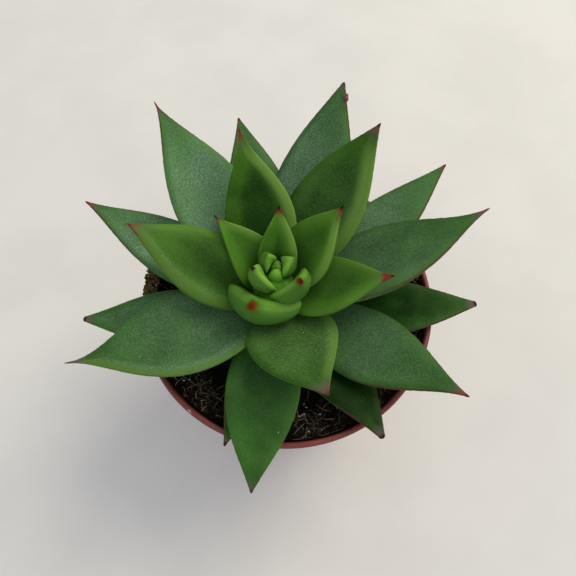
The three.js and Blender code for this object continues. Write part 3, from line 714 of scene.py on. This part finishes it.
def old_blades():
    """The blades that sit up the stem, each with its place on it and its fullness."""
    blades = []
    for turn, row in enumerate(BLADES):
        blade = dict(zip(BLADE_KEYS, row))
        height = LOWEST_LEAF + LEAF_STEP * turn + UPPER_STEP * max(turn - UPPER_FROM_LEAF, 0) ** 2
        blade["radius"] = STEM_RADIUS - STEM_TAPER * turn
        blade["height"] = height + blade["lift"]
        blade["stem_y"] = STEM_Y + stem_lean(turn)
        blade["round"] = mix(*OLD_ROUND, turn / len(BLADES))
        blade["hollow"] = mix(*OLD_HOLLOW, turn / len(BLADES))
        blade["crown"] = blade["thick"] * mix(*OLD_PLUMP, turn / len(BLADES))
        blade["below"] = blade["thick"] - blade["crown"]
        blade["crown_power"] = THICK_POWER
        blade["crown_round"] = blade["round"]
        blade["crown_from"] = CROWN_FROM_FOOT
        blade["keeled"] = OLD_KEEL
        blade["one_sided"] = 1.0
        blades.append(blade)
    return blades


def young_blades(rows):
    """Upright young blades, which bulge on the side that is seen and stand round the stem's top."""
    blades = [dict(zip(YOUNG_KEYS, row)) for row in rows]
    for blade in blades:
        blade["taper"] = YOUNG_TAPER
        blade["tip"] = YOUNG_TIP
        blade["thorn"] = YOUNG_THORN
        blade["fold"] = 0
        blade["stem_y"] = STEM_Y + STEM_LEAN
        blade["round"] = YOUNG_ROUND
        blade["below"] = UNDER_SHARE * blade["thick"]
        blade["crown_power"] = CROWN_POWER
        blade["crown_round"] = CROWN_ROUND
        blade["crown_from"] = CROWN_FROM
        blade["hollow"] = 0.0
        blade["keeled"] = YOUNG_KEEL
        blade["one_sided"] = 0.0
    return blades


def grow_leaves():
    """Every blade outside the bud. Gives back their points, for the marks that lie on them."""
    grown = []
    blades = old_blades() + young_blades(YOUNG_BLADES)
    for n, blade in enumerate(blades, 1):
        slot = "leaf_outer" if n <= OUTER_BLADES else "leaf_inner" if n <= len(BLADES) else "leaf_heart"
        points, faces, carried = blade_skin(blade, STATIONS)
        piece = mesh_piece(f"blade_{n:02d}", points, faces, SKINS[slot], carried)
        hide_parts(f"leaf_{n:02d}")
        grown.append(points)
    return grown


def green_dome(name, offset, radius, height, green):
    """A small closed dome over the stem's top, folded in three."""
    points = []
    centre = Vector((STEM_X, STEM_Y + STEM_LEAN, STEM_TOP_Z)) + offset
    for i in range(DOME_ROWS + 1):
        polar = math.pi * i / DOME_ROWS
        for k in range(DOME_SIDES):
            turn = 2 * math.pi * k / DOME_SIDES
            fold = 1 + DOME_FOLD * math.cos(3 * turn + 2 * polar)
            out = radius * math.sin(polar) * fold
            shift = Vector((out * math.cos(turn), out * math.sin(turn), height * math.cos(polar)))
            points.append(centre + shift)
    # Coloured like the middle of a blade, far from any tip or margin
    told = dict.fromkeys(CARRIED, 0.0)
    told.update({"from_tip": 9.0, "from_edge": 3.0, "topside": 1.0, "green": green, "reach": 1.0})
    carried = {key: [value] * len(points) for key, value in told.items()}
    faces = ring_faces(DOME_ROWS, DOME_SIDES, flipped=True)
    piece = mesh_piece(name, points, faces, SKINS["leaf_heart"], carried)
    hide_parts("heart")


def grow_bud():
    for n, blade in enumerate(young_blades(BUD_BLADES), 1):
        points, faces, carried = blade_skin(blade, BUD_STATIONS)
        piece = mesh_piece(f"bud_blade_{n}", points, faces, SKINS["leaf_heart"], carried)
        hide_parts("heart")
    green_dome("bud_dome", Vector((0.4, -1.0, 4.5)), radius=2.5, height=3.8, green=0.9)
    green_dome("bud_core", Vector((0.6, -2.4, 1.2)), radius=5.8, height=3.6, green=0.5)
    green_dome("bud_collar", Vector((-1.0, -3.9, 1.4)), radius=5.9, height=4.2, green=0.25)


# Pot
def inner_radius(z):
    if z > BAND_FOOT:
        return RIM_INSIDE - BAND_DRAFT * (POT_HEIGHT - z) / (POT_HEIGHT - BAND_FOOT)
    return mix(FOOT_RADIUS, BODY_TOP_RADIUS, z / BAND_FOOT) - WALL


def turned(profile, sides):
    """Rings of points for a turned shape, in the profile's order."""
    return [Vector((x, y, z)) for r, z in profile for x, y in circle(0, 0, r, sides)]


def rounded(corner_r, corner_z, radius, start, end, steps):
    """Profile points on an arc round (corner_r, corner_z), from start to end degrees."""
    found = []
    for i in range(steps + 1):
        turn = math.radians(mix(start, end, i / steps))
        found.append((corner_r + radius * math.cos(turn), corner_z + radius * math.sin(turn)))
    return found


def pot_profile():
    """Radius and height round the pot's section, from the foot up and back down to the floor."""
    foot_ring = FOOT_RADIUS - FOOT_ROUND
    band = POT_HEIGHT - BAND_FOOT
    outside = (4, 12, 25, 38, 51, 64, 75.5, 76.4)
    profile = [(foot_ring - 0.3, 0)]
    profile += rounded(foot_ring - 0.05, FOOT_ROUND, FOOT_ROUND, -80, -10, 4)
    profile += [(mix(FOOT_RADIUS, BODY_TOP_RADIUS, z / BODY_TOP), z) for z in outside]
    # Out under the band, up it and over the lip
    profile += [(BODY_TOP_RADIUS, 76.9), (50.3, 77.3), (51.2, 77.6), (51.5, 77.9), (51.62, 78.4)]
    profile += [(RIM_RADIUS - BAND_DRAFT * (POT_HEIGHT - z) / band, z) for z in (80, 84, 88, 90.8)]
    profile += rounded(RIM_RADIUS - LIP_ROUND - 0.06, POT_HEIGHT - LIP_ROUND, LIP_ROUND, 8, 90, 7)
    inner_z = POT_HEIGHT - INNER_LIP_ROUND
    profile += rounded(RIM_INSIDE + INNER_LIP_ROUND, inner_z, INNER_LIP_ROUND, 90, 178, 6)
    # Down the inside, in behind the band, to the corner of the floor
    profile += [(inner_radius(z), z) for z in (89, 86, 82, 78.3)]
    profile += [(inner_radius(77), 77.6), (inner_radius(76.5), 76.5)]
    profile += [(inner_radius(z), z) for z in (64, 48, 32, 16, 4.8)]
    corner = POT_FLOOR + FLOOR_FILLET
    profile += rounded(inner_radius(corner) - FLOOR_FILLET, corner, FLOOR_FILLET, 0, -90, 4)
    return profile


def pierced_floor(points, outer, level, upward):
    """Faces of one side of the floor, inside the ring that starts at outer, and its holes' rings."""
    rings = []
    for x, y in circle(0, 0, DRAIN_CIRCLE, DRAIN_HOLES):
        rings.append(list(range(len(points), len(points) + DRAIN_SIDES)))
        points += [Vector((*place, level)) for place in circle(x, y, DRAIN_RADIUS, DRAIN_SIDES)]
    loops = [list(range(outer, outer + POT_SIDES))] + rings
    flat = [n for loop in loops for n in loop]
    faces = []
    for tri in tessellate_polygon([[points[n] for n in loop] for loop in loops]):
        a, b, c = (flat[n] for n in tri)
        normal = (points[b] - points[a]).cross(points[c] - points[a])
        faces.append((a, b, c) if (normal.z > 0) == upward else (c, b, a))
    return faces, rings


def mould_pot():
    profile = pot_profile()
    points = turned(profile, POT_SIDES)
    faces = ring_faces(len(profile) - 1, POT_SIDES)
    below, low_rings = pierced_floor(points, 0, 0, False)
    above, high_rings = pierced_floor(points, (len(profile) - 1) * POT_SIDES, POT_FLOOR, True)
    faces += below + above
    for low, high in zip(low_rings, high_rings):
        for k in range(DRAIN_SIDES):
            m = (k + 1) % DRAIN_SIDES
            faces.append((low[m], low[k], high[k], high[m]))
    terracotta = moulded_terracotta("#6e3027", "#7d392e", scuffed="#a87868")
    piece = mesh_piece("nursery_pot", points, faces, terracotta)
    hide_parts("pot")


# Peat
def peat_height(x, y):
    """How high the bed lies, without its crumbs."""
    r = math.hypot(x, y)
    off = (math.degrees(math.atan2(y, x)) - MOUND_HEADING + 180) % 360 - 180
    share = clamp((r - DISH_RADIUS) / DISH_SLOPE)
    mound = MOUND_HEIGHT * math.exp(-((off / MOUND_SPREAD) ** 2)) * share
    roll = ROLL_HEIGHT * math.sin(x * 0.31 + 1) * math.sin(y * 0.27 + 2) * share
    return mix(PEAT_LEVEL, PEAT_AT_RIM, share) + mound + roll + WALL_HEIGHT * smooth(*WALL_RISE, r)


def crumbly(x, y):
    """How high the bed lies with its clods, crumbs and grit."""
    height = peat_height(x, y)
    for across, high, layer in BED_RELIEF:
        height += noise.noise(Vector((x, y, layer)) / across) * high
    return height


def fill_with_peat():
    bottom = POT_FLOOR + PEAT_GAP
    profile = [(12, bottom), (33, bottom)]
    profile += [(inner_radius(z) - PEAT_GAP, z) for z in (5, 76, 84)]
    points = turned(profile, BED_SIDES)
    # Over the top, where the rings close in on the stem
    brim = inner_radius(BRIM_Z) - BRIM_GAP
    for i in range(BED_RINGS + 1):
        r = mix(brim, STEM_HOLE_RADIUS, i / BED_RINGS)
        share = clamp((CLOSES_WITHIN - r) / (CLOSES_WITHIN - STEM_HOLE_RADIUS))
        for x, y in circle(STEM_X * share, STEM_Y * share, r, BED_SIDES):
            points.append(Vector((x, y, crumbly(x, y))))
    # Down the hole that the root stands in
    root_hole = circle(STEM_X, STEM_Y, ROOT_HOLE_RADIUS, BED_SIDES)
    points += [Vector((x, y, ROOT_HOLE_FLOOR)) for x, y in root_hole]
    faces = ring_faces(len(profile) + BED_RINGS + 1, BED_SIDES)
    faces.append(tuple(range(len(points) - BED_SIDES, len(points))))
    faces.append(tuple(reversed(range(BED_SIDES))))
    damp = loose_peat("damp_loose_peat", damp="#080504", dry="#1e150f", straw="#4a3a2a")
    piece = mesh_piece("peat_bed", points, faces, damp)
    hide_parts("peat")


# Loose things: crumbs and grains are lumps, sunk by a share of their size
SCATTER_SEED = 11
LUMP_BURY = 0.25
LUMP_BUMPS = 0.45
SMALL_LUMPS = 2.5
STREWN_FROM = 20
STREWN_TO = 49.4
# The spill on the lip at the left, in degrees and mm from the pot's centre
SPILL_HEADINGS = (160, 184)
SPILL_FROM = 47
SPILL_TO = 53
SPILL_THINS_FROM = 166
SPILL_THINS = 0.07
HEAP_HEIGHT = 1.2
HEAP_RISE = (52.6, 49)
# Grains of perlite that show best, as x, y on the peat, and pale scrapes on the pot's lip
SEEN_PERLITE = [
    (4.4, -41.9), (4.9, -41.5), (5.8, -41.2), (7.3, -46.9),
    (6.6, -38.8), (11.1, -41.2), (-33.6, -29.7), (-35.4, -30.1),
]
PERLITE_CLEAR = 0.2
LIP_SCRAPES = [(-31.4, -41.2), (-31.9, -40.8), (-32.5, -40.4)]
SCRAPE_DEPTH = 0.2
# Fibres, really a tenth of a millimetre thick, and the tangles they lie in, as headings from the
# pot's centre in degrees and mm out
TANGLES = [(278, 44), (284, 47), (233, 46), (224, 44), (212, 46), (313, 43), (344, 47), (8, 47)]
TANGLE_DEGREES = 3.5
TANGLE_MM = 2.5
TANGLES_WITHIN = 48.8
FIBRES_FROM = 20
FIBRES_TO = 47
FIBRES_WITHIN = 49.6
FIBRE_LENGTHS = (1.5, 9)
SHORT_FIBRES = 1.8
FIBRE_STEPS = 9
FIBRE_CURL = 0.15
FIBRE_KINK = 0.22
FIBRE_LIFTS = (0.1, 1.6)
FIBRE_CLEAR = 0.15
FIBRE_THINS = 0.6
# Marks of age and dust on the blades, as leaf, station from the stem and step across
SCABS = [(9, 68, 0), (9, 69, 0), (9, 69, 1), (9, 70, 0), (9, 70, 0)]
DUST = [(14, 38, 8), (6, 50, 6), (12, 16, 7), (11, 29, 15), (12, 30, 10), (14, 24, 14)]
DUSTY_LEAVES = (7, 8, 10, 11, 12, 13, 14, 15, 16, 18)
LOOSE_DUST = 26
DUST_STATIONS = (10, 64)
DUST_STEPS = (3, ACROSS - 2)


def lump_form():
    """Points and faces of a ball of 42 points, to be knocked out of shape as a crumb."""
    ball = bmesh.new()
    bmesh.ops.create_icosphere(ball, subdivisions=2, radius=1)
    points = [v.co.copy() for v in ball.verts]
    faces = [tuple(v.index for v in f.verts) for f in ball.faces]
    ball.free()
    return points, faces


LUMP_POINTS, LUMP_FACES = lump_form()


def scatter_lumps(name, place, draw, count, sizes, material, slot, bury=LUMP_BURY):
    """Crumbs of the two sizes in mm, most of them small, where place(draw) puts them."""
    points, faces = [], []
    for _ in range(count):
        x, y, z = place(draw)
        size = mix(*sizes, draw.random() ** SMALL_LUMPS) / 2
        stretch = Vector((draw.uniform(0.7, 1.3), draw.uniform(0.7, 1.3), draw.uniform(0.6, 1.0)))
        seed = Vector((draw.uniform(0, 50), draw.uniform(0, 50), draw.uniform(0, 50)))
        middle = Vector((x, y, z + size * bury))
        start = len(points)
        for p in LUMP_POINTS:
            bump = 1 + LUMP_BUMPS * noise.noise(p * 1.4 + seed)
            shape = Vector((p.x * stretch.x, p.y * stretch.y, p.z * stretch.z))
            points.append(middle + shape * size * bump)
        faces += [tuple(start + n for n in f) for f in LUMP_FACES]
    mesh_piece(name, points, faces, material)


def set_down(name, spots, draw, **how):
    """Lumps on spots that are already chosen."""
    waiting = iter(spots)
    scatter_lumps(name, lambda _: next(waiting), draw, len(spots), **how)


def on_the_peat(draw):
    turn = draw.uniform(0, 2 * math.pi)
    r = math.sqrt(draw.uniform(STREWN_FROM ** 2, STREWN_TO ** 2))
    x, y = r * math.cos(turn), r * math.sin(turn)
    return x, y, crumbly(x, y)


def spilt_on_the_rim(draw):
    """On the lip at the left, in a heap that thins out towards the front."""
    heading = draw.uniform(*SPILL_HEADINGS)
    turn = math.radians(heading)
    r = draw.uniform(SPILL_FROM, SPILL_TO - SPILL_THINS * (heading - SPILL_THINS_FROM))
    x, y = r * math.cos(turn), r * math.sin(turn)
    heap = HEAP_HEIGHT * smooth(*HEAP_RISE, r)
    return x, y, POT_HEIGHT + draw.uniform(-0.8, 0.3) + heap


def tube(path, radius, sides=5):
    """A thin closed tube along a path of points, finer towards both ends."""
    points = []
    for i, at in enumerate(path):
        ahead = (path[min(i + 1, len(path) - 1)] - path[max(i - 1, 0)]).normalized()
        side = ahead.cross(Vector((0.1, 0.2, 1))).normalized()
        up = side.cross(ahead)
        thin = radius * (1 - FIBRE_THINS * abs(2 * i / (len(path) - 1) - 1) ** 3)
        points += [at + (side * x + up * y) * thin for x, y in circle(0, 0, 1, sides)]
    faces = ring_faces(len(path) - 1, sides)
    faces.append(tuple(reversed(range(sides))))
    faces.append(tuple(range(len(points) - sides, len(points))))
    return points, faces


def fibre_path(x, y, draw):
    """A curling path over the crumbs from (x, y), kept inside the pot."""
    heading = draw.uniform(0, 2 * math.pi)
    curl = draw.uniform(-FIBRE_CURL, FIBRE_CURL)
    length = mix(*FIBRE_LENGTHS, draw.random() ** SHORT_FIBRES)
    lift = draw.uniform(*FIBRE_LIFTS)
    path = []
    for i in range(FIBRE_STEPS):
        arch = lift * math.sin(math.pi * i / (FIBRE_STEPS - 1))
        ground = mix(crumbly(x, y), peat_height(x, y), 0.5)
        path.append(Vector((x, y, ground + arch + FIBRE_CLEAR)))
        x += length / FIBRE_STEPS * math.cos(heading)
        y += length / FIBRE_STEPS * math.sin(heading)
        heading += curl + draw.uniform(-FIBRE_KINK, FIBRE_KINK)
        away = math.hypot(x, y)
        if away > FIBRES_WITHIN:
            x, y = x * FIBRES_WITHIN / away, y * FIBRES_WITHIN / away
    return path


def scatter_fibres(name, draw, count, thick, material):
    """Fibres of the two radii in mm, every other one in a tangle."""
    points, faces = [], []
    for n in range(count):
        turn = draw.uniform(0, 2 * math.pi)
        r = math.sqrt(draw.uniform(FIBRES_FROM ** 2, FIBRES_TO ** 2))
        if n % 2:
            heading, out = draw.choice(TANGLES)
            turn = math.radians(heading + draw.gauss(0, TANGLE_DEGREES))
            r = min(out + draw.gauss(0, TANGLE_MM), TANGLES_WITHIN)
        path = fibre_path(r * math.cos(turn), r * math.sin(turn), draw)
        more, strips = tube(path, draw.uniform(*thick))
        start = len(points)
        points += more
        faces += [tuple(start + p for p in f) for f in strips]
    mesh_piece(name, points, faces, material)


def on_leaves(grown, marks):
    """Points of the blades, from rows of leaf, station from the stem and step across."""
    ring = len(section_walk())
    return [grown[leaf - 1][station * ring + step] for leaf, station, step in marks]


def mark_leaves(grown, draw):
    """Cork where a margin was hurt, red-brown and rough, and pale grains of dust."""
    scab = cloudy_matt("corky_leaf_scab", "#5a3430", "#85564e", size=1, roughness=0.8)
    scabs = on_leaves(grown, SCABS)
    set_down("corky_scabs", scabs, draw, sizes=(1.5, 2.1), material=scab, slot="leaf_outer", bury=0)
    marks = list(DUST)
    for _ in range(LOOSE_DUST):
        leaf = draw.choice(DUSTY_LEAVES)
        marks.append((leaf, draw.randrange(*DUST_STATIONS), draw.randrange(*DUST_STEPS)))
    dust = cloudy_matt("pale_leaf_dust", "#8ea480", "#c2ccb4", size=0.5, roughness=0.9)
    spots = on_leaves(grown, marks)
    set_down("dust_grains", spots, draw, sizes=(0.14, 0.36), material=dust, slot="leaf_outer")


def dress(grown):
    """The loose and worn things. All draw from one row of random numbers, so their order counts."""
    draw = random.Random(SCATTER_SEED)
    # Peat that has dried: browner than the bed, and where it was spilt on the lip paler still, partly dry
    # peat and partly painted light
    dry_crumb = loose_peat("dry_peat_crumb", damp="#0e0907", dry="#33271c", straw="#6a5842")
    scatter_lumps("peat_crumbs", on_the_peat, draw, 1700, (0.5, 2.2), dry_crumb, "peat")
    # Spilt crumbs on the lip: dry peat, painted paler still as painted light
    spilt_peat_and_light = loose_peat("dry_spilt_peat_painted_lighter", damp="#4c3e2a", dry="#8f7b58", straw="#b8a880")
    scatter_lumps("spilt_crumbs", spilt_on_the_rim, draw, 900, (0.4, 1.4), spilt_peat_and_light, "peat")
    # Perlite: volcanic glass puffed by heat, which looks chalk white and rough
    perlite = cloudy_matt(
        "puffed_perlite", "#a8a298", "#e8e4dc", size=0.5, roughness=0.9, relief=0.5,
    )
    scatter_lumps("perlite_specks", on_the_peat, draw, 90, (0.25, 1.3), perlite, "peat")
    seen = [(x, y, crumbly(x, y) + PERLITE_CLEAR) for x, y in SEEN_PERLITE]
    set_down("perlite_grains", seen, draw, sizes=(0.6, 1.0), material=perlite, slot="peat")
    # Polypropylene that knocks have raised and bleached: paler than the pot and matt
    scrapes = [(x, y, POT_HEIGHT - SCRAPE_DEPTH) for x, y in LIP_SCRAPES]
    scuff = cloudy_matt("scraped_lip", "#8a6a64", "#b89a94", size=1, roughness=0.8)
    set_down("lip_scrapes", scrapes, draw, sizes=(0.6, 0.9), material=scuff, slot="pot_terracotta")
    # Dried moss and fine roots: straw-coloured and near black threads, both dull
    straw = cloudy_matt("dry_moss_fibre", "#6a5e44", "#b4a47e", size=6, roughness=0.85)
    bark = cloudy_matt("dark_root_fibre", "#1c1610", "#484032", size=5, roughness=0.9)
    scatter_fibres("pale_fibres", draw, 320, (0.04, 0.1), straw)
    scatter_fibres("dark_fibres", draw, 420, (0.05, 0.12), bark)
    mark_leaves(grown, draw)


def finish_stem():
    """The stem keeps its own solid, with the corky skin that old leaves leave behind."""
    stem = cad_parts["stem"]
    cork = cloudy_matt(
        "corky_green_stem", "#4c6a2c", "#5f6238", size=4, roughness=0.75, relief=0.5,
    )
    stem.data.materials.clear()
    stem.data.materials.append(cork)


# Stage, in metres: a floor for the shadow, the room's glow and one soft window
FLOOR_HALF = 1.5
FLOOR_CLOUDS = 60
ROOM_GLOW = 0.68
WINDOW_AT = (1.0, 0.86, 1.6)
WINDOW_AIM = (0, 0, 0.08)
WINDOW_WIDTH = 1.3
WINDOW_WATTS = 21
# The photograph's camera, which looks steeply down, with its place in metres and tilt in degrees
LENS_MM = 29.375
SENSOR_MM = 36
NEAREST = 0.01
CAMERA_AT = (0.0004, -0.0639, 0.25)
CAMERA_TILT = 23


def set_stage():
    mesh = bpy.data.meshes.new("studio_floor")
    corners = [(x * FLOOR_HALF, y * FLOOR_HALF, 0) for x, y in ((-1, -1), (1, -1), (1, 1), (-1, 1))]
    mesh.from_pydata(corners, [], [(0, 1, 2, 3)])
    # A matt painted board, even and nearly white
    pale = cloudy_matt("pale_matt_floor", "#dfdfd9", "#e4e4de", size=FLOOR_CLOUDS, roughness=0.7)
    mesh.materials.append(pale)
    link_new("studio_floor", mesh)


def set_light():
    world = bpy.data.worlds.new("soft_room")
    world.use_nodes = True
    tree = world.node_tree
    tree.nodes.clear()
    glow = {"Color": linear("#f5f6ff"), "Strength": ROOM_GLOW}
    add_node(tree, "ShaderNodeOutputWorld", {"Surface": add_node(tree, "ShaderNodeBackground", glow)})
    bpy.context.scene.world = world
    pane = bpy.data.lights.new("window_light", "AREA")
    pane.shape = "DISK"
    pane.size = WINDOW_WIDTH
    pane.energy = WINDOW_WATTS
    pane.color = linear("#fff3d8")[:3]
    window = link_new("window_light", pane)
    window.location = WINDOW_AT
    facing = Vector(WINDOW_AIM) - Vector(WINDOW_AT)
    window.rotation_euler = facing.to_track_quat("-Z", "Y").to_euler()


def set_camera():
    lens = bpy.data.cameras.new("photo_camera")
    lens.lens = LENS_MM
    lens.sensor_width = SENSOR_MM
    lens.clip_start = NEAREST
    camera = link_new("photo_camera", lens)
    camera.location = CAMERA_AT
    camera.rotation_euler = (math.radians(CAMERA_TILT), 0, 0)
    bpy.context.scene.camera = camera
    bpy.context.scene.view_settings.view_transform = "Standard"


grown = grow_leaves()
grow_bud()
mould_pot()
fill_with_peat()
dress(grown)
finish_stem()
set_stage()
set_light()
set_camera()
